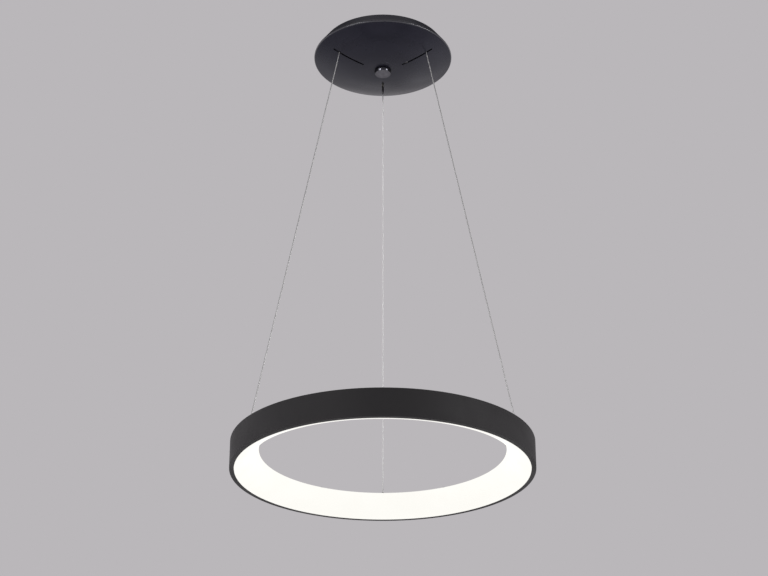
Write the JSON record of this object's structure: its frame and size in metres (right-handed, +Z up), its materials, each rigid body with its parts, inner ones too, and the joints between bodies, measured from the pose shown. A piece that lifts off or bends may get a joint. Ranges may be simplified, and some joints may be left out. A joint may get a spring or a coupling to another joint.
{
  "type": "ring pendant lamp",
  "caption": "Lit ring pendant: black band with a bowed opal diffuser inside, hung level on steel wires from a domed ceiling cover.",
  "frame": {"origin": "middle of the ceiling plane, on the lamp's axis, at the top face of the ceiling plate's flange", "axes": "+Z up, out of the ceiling plate; +Y from the middle towards the wire that is farthest in the picture; +X to the right there"},
  "size_m": [0.48, 0.48, 0.787],
  "materials": {
    "band_black": "satin black powder coat on aluminium",
    "plate_black": "satin black powder coat on aluminium",
    "cover_black": "satin black lacquer on spun steel",
    "knob_metal": "polished side, matt face",
    "opal": "opal acrylic, lit from inside",
    "led": "phosphor-covered chip",
    "led_board": "white solder mask on aluminium",
    "steel_wire": "bare stranded stainless steel",
    "nickel": "nickel plated",
    "zinc": "bright zinc plated",
    "black_screw": "black oxide",
    "brass_screw": "bright brass",
    "galvanised": "galvanised sheet steel",
    "nylon": "black nylon",
    "grommet_rubber": "soft black rubber",
    "driver_grey": "moulded grey plastic",
    "circuit_board": "green solder mask",
    "component": "dark moulded components",
    "terminal_white": "moulded white plastic",
    "lead_brown": "brown insulation",
    "lead_blue": "blue insulation",
    "lead_black": "black insulation",
    "lead_red": "red insulation"
  },
  "bodies": {
    "ceiling_mount": {"block_screws": "zinc", "bolt_nut": "zinc", "canopy_bolt": "zinc", "ceiling_plate": "galvanised", "driver_board": "circuit_board", "driver_lid": "driver_grey", "driver_parts": "component", "driver_screws": "zinc", "driver_tray": "driver_grey", "earth_screw": "zinc", "earth_washer": "zinc", "gripper_body_1": "nickel", "gripper_body_2": "nickel", "gripper_body_3": "nickel", "gripper_bushes": "nylon", "gripper_nuts": "zinc", "gripper_washers": "nylon", "inlet_grommet": "grommet_rubber", "mains_lead_1": "lead_brown", "mains_lead_2": "lead_blue", "output_lead_1": "lead_black", "output_lead_2": "lead_red", "suspension_wire_1": "steel_wire", "suspension_wire_2": "steel_wire", "suspension_wire_3": "steel_wire", "terminal_block": "terminal_white", "terminal_screws": "brass_screw"},
    "cover": {"canopy_cover": "cover_black", "knob_washer": "nylon"},
    "knob": {"canopy_knob": "knob_metal"},
    "ring": {"anchor_block_1": "nylon", "anchor_block_2": "nylon", "anchor_block_3": "nylon", "anchor_screws": "black_screw", "board_screws": "zinc", "diffuser": "opal", "diffuser_screws": "black_screw", "led_board_1": "led_board", "led_board_2": "led_board", "led_board_3": "led_board", "led_board_4": "led_board", "led_chips": "led", "plate_screws": "black_screw", "ring_band": "band_black", "ring_lead_1": "lead_black", "ring_lead_2": "lead_red", "ring_top_plate": "plate_black", "wire_ball_1": "nickel", "wire_ball_2": "nickel", "wire_ball_3": "nickel"},
    "plunger_1": {"gripper_plunger_1": "nickel"},
    "plunger_2": {"gripper_plunger_2": "nickel"},
    "plunger_3": {"gripper_plunger_3": "nickel"}
  },
  "joints": [
    {"name": "ring_height", "type": "slide", "parent": "ceiling_mount", "child": "ring", "axis": [0, 0, 1], "range_m": [0, 0.35], "deforming": ["suspension_wire_1", "suspension_wire_2", "suspension_wire_3"]},
    {"name": "cover_drop", "type": "slide", "parent": "ceiling_mount", "child": "cover", "axis": [0, 0, -1], "range_m": [0, 0.004]},
    {"name": "knob_turn", "type": "hinge", "parent": "cover", "child": "knob", "pos_m": [0, 0, -0.05025], "axis": [0, 0, -1], "range_deg": [0, 1440.5]},
    {"name": "release_1", "type": "slide", "parent": "ceiling_mount", "child": "plunger_1", "axis": [0, 0, 1], "range_m": [0, 0.0025], "stiffness_N_per_m": 400, "springref_m": -0.003},
    {"name": "release_2", "type": "slide", "parent": "ceiling_mount", "child": "plunger_2", "axis": [0, 0, 1], "range_m": [0, 0.0025], "stiffness_N_per_m": 400, "springref_m": -0.003},
    {"name": "release_3", "type": "slide", "parent": "ceiling_mount", "child": "plunger_3", "axis": [0, 0, 1], "range_m": [0, 0.0025], "stiffness_N_per_m": 400, "springref_m": -0.003}
  ],
  "couplings": [
    {"joint": "knob_turn", "follows": "cover_drop", "rad_per_m": 6283.2}
  ]
}
